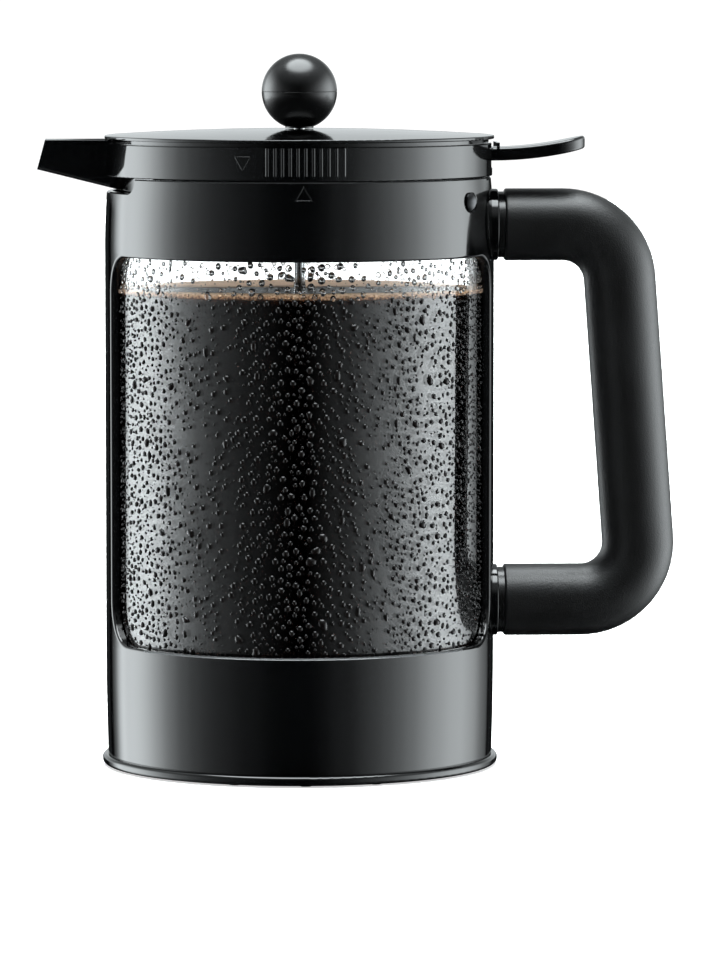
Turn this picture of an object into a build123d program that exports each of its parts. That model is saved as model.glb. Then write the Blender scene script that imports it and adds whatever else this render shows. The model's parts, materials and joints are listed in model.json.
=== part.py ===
from build123d import *
import os
from math import asin, atan2, cos, degrees, radians, sin, sqrt, tan

# Cold brew coffee maker: a clear beaker in a windowed moulded frame with a round-tube handle,
# a twist-on lid with a beak spout and a thumb lever that opens its pouring valve, and a plunger
# with a filter.
#
# Frame: origin on the pot's axis, at the surface it stands on. +Z is up, the spout points to -X,
# the handle to +X and the front window to -Y. Millimetres. At rest the plunger is pressed down
# and the lid is seated.

os.makedirs("parts", exist_ok=True)

# ---------------------------------------------------------------- driving dimensions
# Frame moulding
body_radius = 63.0
frame_wall = 2.6
base_height = 40.6
base_flange_step = 1.2
base_flange_height = 3.1
base_flange_round = 1.3
base_groove_height = 0.45
base_groove_depth = 0.6
seat_below_sill = 5.0
seat_thickness = 2.6
window_height = 124.8
window_half_angle = 76.0
window_lower_round = 14.5
window_upper_round = 11.5
window_edge_round = 0.9
band_height = 25.15
band_edge_bevel = 0.4
band_taper = 1.1
base_taper = 0.6
taper_margin = 1.2
notch_depth = 4.6
notch_half_angle = 30.0
notch_round = 4.0
frame_rebate = 0.8

# Base
foot_height = 0.6
foot_count = 16
foot_length = 3.2
foot_width = 2.2
foot_strip_width = 5.0
foot_strip_depth = 1.0
foot_bead_width = 1.2
base_cover_thickness = 2.4
base_cover_gap = 0.2
base_post_radius = 4.0
base_post_inset = 14.4
base_post_angle = 45.0
base_screw_count = 4
base_screw_radius = 1.3
base_screw_length = 12.0
base_screw_head_radius = 3.0
base_screw_head_height = 1.2
base_screw_tip_gap = 1.0
screw_clearance = 0.3

# Beaker
beaker_gap = 0.4
beaker_wall = 2.0
beaker_floor = 2.2
beaker_corner = 5.0
beaker_rim_round = 0.8
beaker_rim_drop = 1.15
cushion_thickness = 0.8
cushion_width = 8.0
cushion_inset = 8.0

# Handle
handle_radius = 9.4
grip_thickness = 2.28
grip_end_round = 0.8
handle_below_band_top = 15.75
handle_above_sill = 12.0
handle_reach_upper = 39.75
handle_reach_lower = 48.6
handle_bend_radius = 18.7
boss_radius = 11.6
boss_stand_out = 1.3
boss_round = 0.6
collar_radius = 10.7
collar_length = 2.0
handle_screw_radius = 2.0
handle_screw_head_radius = 3.8
handle_screw_length = 16.0
handle_screw_sink = 0.2
handle_screw_cone_angle = 41.0
stud_head_radius = 3.3
stud_head_rise = 2.0
stud_head_edge = 0.5
stud_shank_inset = 0.2
stud_shank_radius = 1.5
stud_angle = 30.9
stud_below_band_top = 7.5

# Lid ring
lid_seam = 0.3
lid_ring_inset = 0.6
lid_ring_height = 10.75
lid_ring_wall = 3.0
lid_ring_edge_round = 0.3
lid_floor_thickness = 1.75
skirt_wall = 2.0
skirt_depth = 14.45
skirt_clearance = 0.6
rib_count = 11
rib_spacing = 2.43
rib_radius = 0.65
rib_sink = 0.12
rib_margin_low = 1.55
rib_margin_high = 0.2
guide_radius = 6.0
guide_above_floor = 6.3
guide_below_floor = 5.45
lid_post_radius = 3.0
lid_post_inset = 11.4
lid_post_angle = 45.0
lid_screw_count = 4
lid_screw_radius = 1.2
lid_screw_head_radius = 2.4
lid_screw_head_height = 1.4
lid_post_below_ring_top = 2.0
lid_screw_tip_gap = 0.4

# Beak spout
spout_reach = 22.4
spout_tip_lean = 2.65
spout_top_above_ring = 0.9
spout_root_half_width = 10.2
spout_tip_half_width = 8.8
spout_root_depth = 16.6
spout_tip_depth = 9.7
spout_inset = 5.2
spout_keel_round = 2.6
spout_wall = 1.7
spout_keel_wall_gap = 0.4

# Pouring valve
port_radius = 6.0
port_inset = 17.4
dam_height = 2.4
dam_thickness = 1.6
dam_clearance = 2.4
plug_overlap = 1.6
plug_thickness = 2.0
plug_lift_gap = 0.3
plug_stem_radius = 1.8
plug_collar_radius = 3.0
plug_bead_height = 1.0
plug_bead_radius = 2.8

# Pouring lever
lever_pivot_offset = 24.0
lever_pivot_height = 4.1
lever_arm_thickness = 2.6
lever_arm_width = 8.0
lever_root_width = 15.0
lever_widening_start = 8.0
lever_eye_wall = 3.5
lever_eye_clearance = 1.6
lever_barrel_radius = 2.6
lever_pad_width = 18.0
lever_pad_thickness = 4.2
lever_pad_reach = 30.1
lever_pad_rise = 3.9
lever_pad_drop = 1.7
lever_pad_round = 0.9
lever_pad_edge_slope = 45.0
lever_lip_height = 1.6
lever_lip_thickness = 1.0
lever_lip_gap = 0.4
lever_slot_clearance = 0.8
lever_slot_drop = 2.3
pin_radius = 1.2
pin_running_clearance = 0.05
ear_thickness = 2.2
ear_gap = 0.4
ear_radius = 2.8
spring_wire = 0.7
spring_radius = 2.8
spring_inset = 15.4
spring_pitch = 1.45
spring_pocket_depth = 3.8
spring_pocket_wall = 1.2
spring_pocket_clearance = 0.7

# Lid cover
cover_overhang = 0.6
cover_step_inset = 1.2
cover_step_height = 1.1
cover_rim_thickness = 1.1
cover_rim_round = 0.35
cover_dome_rise = 2.1
cover_wall = 2.0

# Seal
seal_height = 3.7
seal_thickness = 1.2
seal_gap = 0.3
seal_lip = 0.5
seal_lip_height = 0.9
seal_flange_height = 2.0

# Plunger
rod_radius = 1.95
rod_running_clearance = 0.05
bush_wall = 1.6
bush_flange = 1.3
bush_flange_thickness = 1.0
knob_radius = 12.2
knob_gap = 0.15
knob_neck_radius = 4.55
knob_neck_height = 0.52
knob_parting_chamfer = 0.1
insert_radius = 3.2
insert_above_equator = 1.0
rod_below_insert_top = 2.5
filter_clearance = 0.4
screen_thickness = 0.4
plate_margin = 4.0
cross_plate_thickness = 1.0
cross_plate_openings = 6
cross_plate_opening_radius = 11.0
cross_plate_opening_inset = 20.6
top_plate_thickness = 1.0
top_plate_lip = 1.0
top_plate_slots = 12
top_plate_slot_length = 24.0
top_plate_slot_width = 6.0
top_plate_slot_inset = 20.6
coil_wire_radius = 1.4
nut_across_flats = 8.0
nut_height = 2.2
nut_floor_gap = 2.6
rod_end_inside_nut = 0.2
collar_nut_radius = 5.0
collar_nut_height = 4.0

# ---------------------------------------------------------------- levels and radii
base_bottom = foot_height
flange_top = base_bottom + base_flange_height
flange_radius = body_radius + base_flange_step
base_groove_top = flange_top + base_groove_height
wall_foot_radius = body_radius - base_taper
base_cover_top = base_bottom + base_cover_thickness
sill = base_bottom + base_height
seat_top = sill - seat_below_sill
seat_bottom = seat_top - seat_thickness
window_top = sill + window_height
band_top = window_top + band_height
notch_floor = band_top - notch_depth
base_taper_top = sill - taper_margin
band_taper_bottom = window_top + taper_margin
band_taper_height = band_top - band_taper_bottom
band_curve = (band_taper_height**2 + band_taper**2) / (2 * band_taper)
inner_radius = body_radius - frame_wall
rebate_radius = inner_radius + frame_rebate
base_cover_radius = rebate_radius - base_cover_gap
base_post_circle = inner_radius - base_post_inset

beaker_radius = inner_radius - beaker_gap
beaker_bore = beaker_radius - beaker_wall
beaker_bottom = seat_top + cushion_thickness
beaker_inside = beaker_bottom + beaker_floor
beaker_rim = notch_floor - beaker_rim_drop
cushion_radius = beaker_bore - cushion_inset

handle_upper = band_top - handle_below_band_top
handle_lower = sill + handle_above_sill
boss_face = body_radius + boss_stand_out
stud_height = band_top - stud_below_band_top
stud_seat = body_radius - band_curve + sqrt(band_curve**2 - (stud_height - band_taper_bottom) ** 2)
grip_start = boss_face + collar_length

ring_low = band_top + lid_seam
ring_top = ring_low + lid_ring_height
lid_ring_radius = body_radius - lid_ring_inset
ring_inner = lid_ring_radius - lid_ring_wall
lid_post_circle = ring_inner - lid_post_inset
port_offset = ring_inner - port_inset
spring_offset = ring_inner - spring_inset
floor_top = ring_low + lid_floor_thickness
skirt_radius = beaker_bore - skirt_clearance
skirt_bottom = ring_low - skirt_depth
seal_outer = beaker_bore - seal_gap
seal_inner = seal_outer - seal_thickness
groove_radius = seal_inner - seal_gap
groove_low = skirt_bottom + seal_flange_height
seal_low = groove_low + seal_gap
seal_high = seal_low + seal_height
groove_high = seal_high + seal_gap
skirt_inner = groove_radius - skirt_wall

bush_bore = rod_radius + rod_running_clearance
bush_radius = bush_bore + bush_wall
guide_top = floor_top + guide_above_floor
guide_bottom = ring_low - guide_below_floor

cover_radius = lid_ring_radius + cover_overhang
cover_step_radius = lid_ring_radius - cover_step_inset
cover_step_top = ring_top + cover_step_height
cover_rim_top = cover_step_top + cover_rim_thickness
cover_top = cover_rim_top + cover_dome_rise
cover_sphere = (cover_radius**2 + cover_dome_rise**2) / (2 * cover_dome_rise)
cover_sphere_height = cover_top - cover_sphere

spout_root_x = -(lid_ring_radius - spout_inset)
spout_tip_x = -(lid_ring_radius + spout_reach)
spout_top = ring_top + spout_top_above_ring

lever_pivot_z = floor_top + lever_pivot_height
arm_bottom = lever_pivot_z - lever_arm_thickness / 2
arm_top = arm_bottom + lever_arm_thickness
pad_top = ring_top - lever_pad_drop
pad_bottom = pad_top - lever_pad_thickness
pad_root = lid_ring_radius
pad_tip = lid_ring_radius + lever_pad_reach

knob_flat = cover_top + knob_gap
knob_neck_top = knob_flat + knob_neck_height
knob_centre = knob_neck_top + sqrt(knob_radius**2 - knob_neck_radius**2)
insert_top = knob_centre + insert_above_equator
rod_top = insert_top - rod_below_insert_top
nut_bottom = beaker_inside + nut_floor_gap
cross_plate_bottom = nut_bottom + nut_height
screen_bottom = cross_plate_bottom + cross_plate_thickness
top_plate_bottom = screen_bottom + screen_thickness
collar_nut_bottom = top_plate_bottom + top_plate_thickness
screen_radius = beaker_bore - filter_clearance
plate_radius = screen_radius - plate_margin
coil_radius = plate_radius + coil_wire_radius
cross_plate_opening_circle = plate_radius - cross_plate_opening_inset
top_plate_slot_circle = plate_radius - top_plate_slot_inset

SPOUT = 180.0
FRONT = -90.0
BACK = 90.0
CUT_OVERRUN = 1.0
PICK_TOLERANCE = 0.01


# ---------------------------------------------------------------- shared shapes
def round_opening(half_angle, low, high, low_round, high_round, facing):
    """A cutter through the round wall, centred on the facing angle, its corners rounded."""
    inside = inner_radius - 2 * frame_wall
    outside = body_radius + frame_wall
    with BuildPart() as cutter:
        with BuildSketch(Plane.XY.offset(low)):
            with BuildLine():
                near = CenterArc((0, 0), inside, facing - half_angle, 2 * half_angle)
                far = CenterArc((0, 0), outside, facing - half_angle, 2 * half_angle)
                Line(near @ 0, far @ 0)
                Line(near @ 1, far @ 1)
            make_face()
        extrude(amount=high - low)
        fillet(cutter.edges().filter_by(is_radial).group_by(Axis.Z)[0], low_round)
        if high_round > 0:
            fillet(cutter.edges().filter_by(is_radial).group_by(Axis.Z)[-1], high_round)
    return cutter.part


def is_radial(edge):
    """True for a straight level edge."""
    level = abs((edge @ 0).Z - (edge @ 1).Z) < PICK_TOLERANCE
    return edge.geom_type == GeomType.LINE and level


def on_wall(edge, low, high, taper=0.0):
    """True for an edge on the body's outer wall, between two heights."""
    points = [edge @ 0, edge @ 0.5, edge @ 1]
    near = all(sqrt(p.X**2 + p.Y**2) > body_radius - taper - PICK_TOLERANCE for p in points)
    return near and all(low < p.Z + PICK_TOLERANCE and p.Z < high + PICK_TOLERANCE for p in points)


def corner(sketch, x, y):
    """The sketch's corner nearest to a point of its plane."""
    return sketch.vertices().sort_by_distance((x, y))[0]


def face_along_x(x, z):
    """A sketch plane across the X axis, its own Y pointing up and its normal to +X."""
    return Plane(origin=(x, 0, z), x_dir=(0, 1, 0), z_dir=(1, 0, 0))


def handle_path(start):
    """Corners of the handle's centreline, from its upper end round to its lower one."""
    return [
        (start, 0, handle_upper),
        (body_radius + handle_reach_upper, 0, handle_upper),
        (body_radius + handle_reach_lower, 0, handle_lower),
        (start, 0, handle_lower),
    ]


def countersunk(z, head_x, head_radius, shank_radius, end_x):
    """A countersunk screw shape along +X, its head's flat at head_x."""
    cone_slope = tan(radians(handle_screw_cone_angle))
    neck_x = head_x + (head_radius - shank_radius) / cone_slope
    with BuildPart() as screw:
        with BuildSketch(Plane.XZ):
            with BuildLine():
                Polyline(
                    (head_x, z),
                    (head_x, z + head_radius),
                    (neck_x, z + shank_radius),
                    (end_x, z + shank_radius),
                    (end_x, z),
                    close=True,
                )
            make_face()
        revolve(axis=Axis((0, 0, z), (1, 0, 0)))
    return screw.part


def rounded_boss(z):
    """A round boss along +X, out of the wall to the handle's seat, its edge eased."""
    with BuildPart() as boss:
        with BuildSketch(face_along_x(inner_radius - frame_wall, z)):
            Circle(boss_radius)
        extrude(amount=boss_face - inner_radius + frame_wall)
        fillet(boss.faces().sort_by(Axis.X)[-1].edges(), boss_round)
    return boss.part


def spout_section(x, half_width, depth, inset, rise):
    """The beak's V section at x, its sides moved in by inset and its top raised by rise."""
    centre_depth = depth - spout_keel_round
    to_corner = sqrt(half_width**2 + centre_depth**2)
    slope = atan2(half_width, centre_depth) - asin(spout_keel_round / to_corner)
    top_half = half_width - inset / cos(slope) + rise * tan(slope)
    keel = spout_keel_round - inset
    side_x = keel * cos(slope)
    side_y = -centre_depth - keel * sin(slope)
    with BuildSketch(face_along_x(x, spout_top)) as section:
        with BuildLine():
            Polyline((-side_x, side_y), (-top_half, rise), (top_half, rise), (side_x, side_y))
            ThreePointArc((side_x, side_y), (0, -centre_depth - keel), (-side_x, side_y))
        make_face()
    return section.sketch


def spout_body(inset, rise, root_x, end_x):
    """The beak between two places along X, narrowing and rising towards its tip."""
    sections = []
    for x in (root_x, end_x):
        share = (x - spout_root_x) / (spout_tip_x - spout_root_x)
        half_width = spout_root_half_width + share * (
            spout_tip_half_width - spout_root_half_width
        )
        depth = spout_root_depth + share * (spout_tip_depth - spout_root_depth)
        sections.append(spout_section(x, half_width, depth, inset, rise))
    with BuildPart() as beak:
        loft(sections=sections, ruled=True)
    return beak.part


# ---------------------------------------------------------------- frame moulding
windows = [
    round_opening(
        window_half_angle, sill, window_top, window_lower_round, window_upper_round, side
    )
    for side in (FRONT, BACK)
]
spout_notch = round_opening(
    notch_half_angle, notch_floor, band_top + notch_depth, notch_round, 0, SPOUT
)
screw_head_x = inner_radius + handle_screw_sink
hole_head_radius = handle_screw_head_radius + (handle_screw_sink + CUT_OVERRUN) * tan(
    radians(handle_screw_cone_angle)
)
screw_holes = [
    countersunk(
        z,
        inner_radius - CUT_OVERRUN,
        hole_head_radius,
        handle_screw_radius + screw_clearance,
        boss_face + CUT_OVERRUN,
    )
    for z in (handle_upper, handle_lower)
]
handle_bosses = [rounded_boss(z) for z in (handle_upper, handle_lower)]
stud_plane = Plane.XY.offset(stud_height)

with BuildPart() as frame:
    # Band, pillars, base wall, groove, flange and the seat floor, as one turned shape
    with BuildSketch(Plane.XZ) as frame_profile:
        with BuildLine():
            low_end = (wall_foot_radius, base_groove_top)
            high_end = (body_radius - band_taper, band_top)
            TangentArc((body_radius, base_taper_top), low_end, tangent=(0, -1))
            Line((body_radius, base_taper_top), (body_radius, band_taper_bottom))
            TangentArc((body_radius, band_taper_bottom), high_end, tangent=(0, 1))
            Polyline(
                low_end,
                (wall_foot_radius - base_groove_depth, base_groove_top),
                (wall_foot_radius - base_groove_depth, flange_top),
                (flange_radius, flange_top),
                (flange_radius, base_bottom),
                (rebate_radius, base_bottom),
                (rebate_radius, base_cover_top),
                (inner_radius, base_cover_top),
                (inner_radius, seat_bottom),
                (0, seat_bottom),
                (0, seat_top),
                (inner_radius, seat_top),
                (inner_radius, band_top),
                high_end,
            )
        make_face()
        fillet(frame_profile.vertices().group_by(Axis.X)[-1], base_flange_round)
    revolve(axis=Axis.Z)

    # The two windows, with eased outer edges
    add(windows, mode=Mode.SUBTRACT)
    window_edges = frame.edges().filter_by(lambda edge: on_wall(edge, sill, window_top))
    fillet(window_edges, window_edge_round)

    # The notch that the spout's keel swings in, and the band's bevelled upper edge
    add(spout_notch, mode=Mode.SUBTRACT)
    band_edges = frame.edges().filter_by(lambda edge: on_wall(edge, notch_floor, band_top, band_taper))
    chamfer(band_edges, band_edge_bevel)

    # Handle bosses, with their screws' countersunk holes from inside the wall
    add(handle_bosses)
    with BuildSketch(Plane.XY.offset(seat_top)):
        Circle(inner_radius)
    extrude(amount=band_top - seat_top, mode=Mode.SUBTRACT)
    add(screw_holes, mode=Mode.SUBTRACT)

    # Holes for the two domed studs
    for side in (-1, 1):
        outward = Location((0, 0, 0), (0, 90, 0))
        with BuildSketch(Plane(stud_plane.rotated((0, 0, side * stud_angle)).location * outward)):
            Circle(stud_shank_radius)
        extrude(amount=body_radius + frame_wall, mode=Mode.SUBTRACT)

    # Posts for the base cover's screws
    with BuildSketch(Plane.XY.offset(base_cover_top)):
        with PolarLocations(base_post_circle, base_screw_count, base_post_angle):
            Circle(base_post_radius)
    extrude(amount=seat_bottom - base_cover_top)
    with BuildSketch(Plane.XY.offset(base_cover_top)):
        with PolarLocations(base_post_circle, base_screw_count, base_post_angle):
            Circle(base_screw_radius)
    extrude(amount=base_screw_length, mode=Mode.SUBTRACT)
frame.part.label = "frame"
export_step(frame.part, "parts/frame.step")

# ---------------------------------------------------------------- base
strip_inner = base_cover_radius - foot_strip_width
counterbore_top = base_bottom + screw_clearance + base_screw_head_height

with BuildPart() as base_cover:
    with BuildSketch(Plane.XY.offset(base_bottom)):
        Circle(base_cover_radius)
    extrude(amount=base_cover_thickness)
    with BuildSketch(Plane.XY.offset(base_bottom)):
        Circle(base_cover_radius)
        Circle(strip_inner, mode=Mode.SUBTRACT)
    extrude(amount=foot_strip_depth, mode=Mode.SUBTRACT)
    with BuildSketch(Plane.XY.offset(base_bottom)):
        with PolarLocations(base_post_circle, base_screw_count, base_post_angle):
            Circle(base_screw_head_radius + screw_clearance)
    extrude(amount=counterbore_top - base_bottom, mode=Mode.SUBTRACT)
    with BuildSketch(Plane.XY.offset(base_bottom)):
        with PolarLocations(base_post_circle, base_screw_count, base_post_angle):
            Circle(base_screw_radius + screw_clearance)
    extrude(amount=base_cover_thickness, mode=Mode.SUBTRACT)
base_cover.part.label = "base_cover"
export_step(base_cover.part, "parts/base_cover.step")

with BuildPart() as foot_ring:
    # The strip in the cover's rebate, a standing bead at its inner edge and the feet
    with BuildSketch(Plane.XY.offset(base_bottom)):
        Circle(base_cover_radius)
        Circle(strip_inner, mode=Mode.SUBTRACT)
    extrude(amount=foot_strip_depth)
    with BuildSketch(Plane.XY):
        Circle(strip_inner + foot_bead_width)
        Circle(strip_inner, mode=Mode.SUBTRACT)
        with PolarLocations(base_cover_radius - foot_width, foot_count):
            SlotOverall(foot_length, foot_width, rotation=90)
    extrude(amount=foot_height)
foot_ring.part.label = "foot_ring"
export_step(foot_ring.part, "parts/foot_ring.step")

with BuildPart() as base_screws:
    with BuildSketch(Plane.XY.offset(counterbore_top - base_screw_head_height)):
        with PolarLocations(base_post_circle, base_screw_count, base_post_angle):
            Circle(base_screw_head_radius)
    extrude(amount=base_screw_head_height)
    with BuildSketch(Plane.XY.offset(counterbore_top)):
        with PolarLocations(base_post_circle, base_screw_count, base_post_angle):
            Circle(base_screw_radius)
    extrude(amount=base_cover_top - counterbore_top + base_screw_length - base_screw_tip_gap)
base_screws.part.label = "base_screws"
export_step(base_screws.part, "parts/base_screws.step")

# ---------------------------------------------------------------- beaker
with BuildPart() as beaker_cushion:
    with BuildSketch(Plane.XY.offset(seat_top)):
        Circle(cushion_radius + cushion_width / 2)
        Circle(cushion_radius - cushion_width / 2, mode=Mode.SUBTRACT)
    extrude(amount=cushion_thickness)
beaker_cushion.part.label = "beaker_cushion"
export_step(beaker_cushion.part, "parts/beaker_cushion.step")

with BuildPart() as beaker:
    with BuildSketch(Plane.XZ) as beaker_profile:
        with BuildLine():
            Polyline(
                (0, beaker_bottom),
                (beaker_radius, beaker_bottom),
                (beaker_radius, beaker_rim),
                (beaker_bore, beaker_rim),
                (beaker_bore, beaker_inside),
                (0, beaker_inside),
                close=True,
            )
        make_face()
        fillet(corner(beaker_profile, beaker_radius, beaker_bottom), beaker_corner)
        fillet(corner(beaker_profile, beaker_bore, beaker_inside), beaker_corner - beaker_wall)
        fillet(beaker_profile.vertices().group_by(Axis.Y)[-1], beaker_rim_round)
    revolve(axis=Axis.Z)
beaker.part.label = "beaker"
export_step(beaker.part, "parts/beaker.step")

# ---------------------------------------------------------------- handle
with BuildPart() as handle_core:
    with BuildLine():
        FilletPolyline(*handle_path(boss_face), radius=handle_bend_radius)
    with BuildSketch(face_along_x(boss_face, handle_upper)):
        Circle(handle_radius)
    sweep()
    for screw_z in (handle_upper, handle_lower):
        with BuildSketch(face_along_x(boss_face, screw_z)):
            Circle(handle_screw_radius)
        extrude(amount=handle_screw_length, mode=Mode.SUBTRACT)
handle_core.part.label = "handle_core"
export_step(handle_core.part, "parts/handle_core.step")

with BuildPart() as handle_grip:
    with BuildLine():
        FilletPolyline(*handle_path(grip_start), radius=handle_bend_radius)
    with BuildSketch(face_along_x(grip_start, handle_upper)):
        Circle(handle_radius + grip_thickness)
        Circle(handle_radius, mode=Mode.SUBTRACT)
    sweep()
    grip_ends = handle_grip.edges().filter_by(
        lambda edge: edge.geom_type == GeomType.CIRCLE
        and abs(edge.radius - handle_radius - grip_thickness) < PICK_TOLERANCE
        and abs(edge.center().X - grip_start) < PICK_TOLERANCE
    )
    fillet(grip_ends, grip_end_round)
handle_grip.part.label = "handle_grip"
export_step(handle_grip.part, "parts/handle_grip.step")

for name, collar_z in (("upper_collar", handle_upper), ("lower_collar", handle_lower)):
    with BuildPart() as collar:
        with BuildSketch(face_along_x(boss_face, collar_z)):
            Circle(collar_radius)
            Circle(handle_radius, mode=Mode.SUBTRACT)
        extrude(amount=collar_length)
    collar.part.label = name
    export_step(collar.part, f"parts/{name}.step")

with BuildPart() as handle_screws:
    for screw_z in (handle_upper, handle_lower):
        add(
            countersunk(
                screw_z,
                screw_head_x,
                handle_screw_head_radius,
                handle_screw_radius,
                boss_face + handle_screw_length - screw_clearance,
            )
        )
handle_screws.part.label = "handle_screws"
export_step(handle_screws.part, "parts/handle_screws.step")

with BuildPart() as stud:
    # One stud on the X axis: its shank in the wall, and a domed head against it
    dome_x = stud_seat + stud_head_edge
    shank_end = inner_radius + stud_shank_inset
    dome_rise = stud_head_rise - stud_head_edge
    dome_radius = (stud_head_radius**2 + dome_rise**2) / (2 * dome_rise)
    with BuildSketch(Plane.XZ):
        with BuildLine():
            Polyline(
                (dome_x, stud_head_radius),
                (stud_seat, stud_head_radius),
                (stud_seat, stud_shank_radius),
                (shank_end, stud_shank_radius),
                (shank_end, 0),
                (dome_x + dome_rise, 0),
            )
            RadiusArc((dome_x + dome_rise, 0), (dome_x, stud_head_radius), -dome_radius)
        make_face()
    revolve(axis=Axis.X)

with BuildPart() as side_studs:
    for side in (-1, 1):
        with Locations(stud_plane.rotated((0, 0, side * stud_angle)).location):
            add(stud.part)
side_studs.part.label = "side_studs"
export_step(side_studs.part, "parts/side_studs.step")

# ---------------------------------------------------------------- lid ring with spout
post_top = ring_top - lid_post_below_ring_top
slot_bottom = pad_bottom - lever_slot_drop
slot_half_width = lever_pad_width / 2 + lever_slot_clearance
dam_inner = port_radius + plug_overlap + dam_clearance
dam_outer = dam_inner + dam_thickness
pocket_radius = spring_radius + spring_wire / 2 + spring_pocket_clearance
pocket_floor = floor_top - spring_pocket_depth
ear_offset = lever_arm_width / 2 + ear_gap
tip_lean_angle = degrees(atan2(spout_tip_lean, spout_tip_depth))

beak_outside = spout_body(0, 0, spout_root_x, spout_tip_x - spout_wall)
channel_root_x = -(ring_inner + spout_keel_wall_gap)
beak_channel = spout_body(spout_wall, spout_wall, channel_root_x, spout_tip_x - 2 * spout_wall)
tip_face = Plane(
    origin=(spout_tip_x, 0, spout_top - spout_tip_depth),
    x_dir=(0, 1, 0),
    z_dir=(-cos(radians(tip_lean_angle)), 0, sin(radians(tip_lean_angle))),
)

with BuildPart() as spout_passage:
    # The channel's own section, carried inwards above the lid's floor
    add(spout_body(spout_wall, spout_wall, spout_root_x + CUT_OVERRUN, channel_root_x))
    split(bisect_by=Plane.XY.offset(floor_top), keep=Keep.TOP)

with BuildPart() as lid_body:
    # Ring, floor, skirt with the seal's groove, and the rod's guide, as one turned shape
    with BuildSketch(Plane.XZ) as lid_profile:
        with BuildLine():
            Polyline(
                (bush_radius, guide_bottom),
                (guide_radius, guide_bottom),
                (guide_radius, ring_low),
                (skirt_inner, ring_low),
                (skirt_inner, skirt_bottom),
                (skirt_radius, skirt_bottom),
                (skirt_radius, groove_low),
                (groove_radius, groove_low),
                (groove_radius, groove_high),
                (skirt_radius, groove_high),
                (skirt_radius, ring_low),
                (lid_ring_radius, ring_low),
                (lid_ring_radius, ring_top),
                (ring_inner, ring_top),
                (ring_inner, floor_top),
                (guide_radius, floor_top),
                (guide_radius, guide_top),
                (bush_radius, guide_top),
                close=True,
            )
        make_face()
        fillet(corner(lid_profile, lid_ring_radius, ring_low), lid_ring_edge_round)
        fillet(corner(lid_profile, lid_ring_radius, ring_top), lid_ring_edge_round)
    revolve(axis=Axis.Z)

    # Grip ribs on the front of the ring
    rib_step = degrees(rib_spacing / lid_ring_radius)
    rib_span = rib_step * (rib_count - 1)
    with BuildSketch(Plane.XY.offset(ring_low + rib_margin_low)):
        with PolarLocations(
            lid_ring_radius - rib_sink,
            rib_count,
            start_angle=FRONT - rib_span / 2,
            angular_range=rib_span,
            endpoint=True,
        ):
            Circle(rib_radius)
    extrude(amount=lid_ring_height - rib_margin_low - rib_margin_high)

    # Low dam that leads from the pouring port to the spout
    with BuildSketch(Plane.XY.offset(floor_top)):
        with Locations((-port_offset, 0)):
            Circle(dam_outer)
        with Locations((-(port_offset + ring_inner) / 2, 0)):
            Rectangle(ring_inner - port_offset, 2 * dam_outer)
        with Locations((-port_offset, 0)):
            Circle(dam_inner, mode=Mode.SUBTRACT)
        with Locations((-(port_offset + ring_inner) / 2, 0)):
            Rectangle(ring_inner - port_offset, 2 * dam_inner, mode=Mode.SUBTRACT)
    extrude(amount=dam_height)

    # Beak spout: the outside, then its channel and the way into it through the ring
    add(beak_outside)
    add(beak_channel, mode=Mode.SUBTRACT)
    add(spout_passage.part, mode=Mode.SUBTRACT)
    with BuildSketch(Plane.XY.offset(ring_top)):
        Circle(cover_step_radius + lid_seam)
    extrude(amount=spout_top - ring_top, mode=Mode.SUBTRACT)
    split(bisect_by=tip_face, keep=Keep.BOTTOM)

    # Pouring port, and a pocket under the lever for its spring
    with BuildSketch(Plane.XY.offset(ring_low)):
        with Locations((-port_offset, 0)):
            Circle(port_radius)
    extrude(amount=lid_floor_thickness, mode=Mode.SUBTRACT)
    with BuildSketch(Plane.XY.offset(pocket_floor - spring_pocket_wall)):
        with Locations((spring_offset, 0)):
            Circle(pocket_radius + spring_pocket_wall)
    extrude(amount=floor_top - pocket_floor + spring_pocket_wall)
    with BuildSketch(Plane.XY.offset(pocket_floor)):
        with Locations((spring_offset, 0)):
            Circle(pocket_radius)
    extrude(amount=spring_pocket_depth, mode=Mode.SUBTRACT)

    # Slot in the ring for the lever
    slot_start = ring_inner - lid_ring_wall
    with BuildSketch(face_along_x(slot_start, 0)):
        with Locations((0, (slot_bottom + ring_top) / 2)):
            Rectangle(2 * slot_half_width, ring_top - slot_bottom)
    extrude(amount=lid_ring_radius + CUT_OVERRUN - slot_start, mode=Mode.SUBTRACT)

    # Ears for the lever's pin
    for side in (-1, 1):
        with BuildSketch(Plane.XZ.offset(-side * ear_offset)):
            with Locations((lever_pivot_offset, lever_pivot_z)):
                Circle(ear_radius)
            with Locations((lever_pivot_offset, (lever_pivot_z + ring_low) / 2)):
                Rectangle(2 * ear_radius, lever_pivot_z - ring_low)
            with Locations((lever_pivot_offset, lever_pivot_z)):
                Circle(pin_radius, mode=Mode.SUBTRACT)
        extrude(amount=-side * ear_thickness)

    # Posts for the cover's screws
    with BuildSketch(Plane.XY.offset(ring_low)):
        with PolarLocations(lid_post_circle, lid_screw_count, lid_post_angle):
            Circle(lid_post_radius)
    extrude(amount=post_top - ring_low)
    with BuildSketch(Plane.XY.offset(ring_low)):
        with PolarLocations(lid_post_circle, lid_screw_count, lid_post_angle):
            Circle(lid_screw_radius + screw_clearance)
    extrude(amount=post_top - ring_low, mode=Mode.SUBTRACT)
lid_body.part.label = "lid_body"
export_step(lid_body.part, "parts/lid_body.step")

# ---------------------------------------------------------------- lid cover and its fasteners
cover_bore = rod_radius + screw_clearance


def dome_height(radius, drop):
    """Height of the cover's dome at this radius, or of its underside when drop is its wall."""
    return cover_sphere_height + sqrt(cover_sphere**2 - radius**2) - drop


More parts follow.
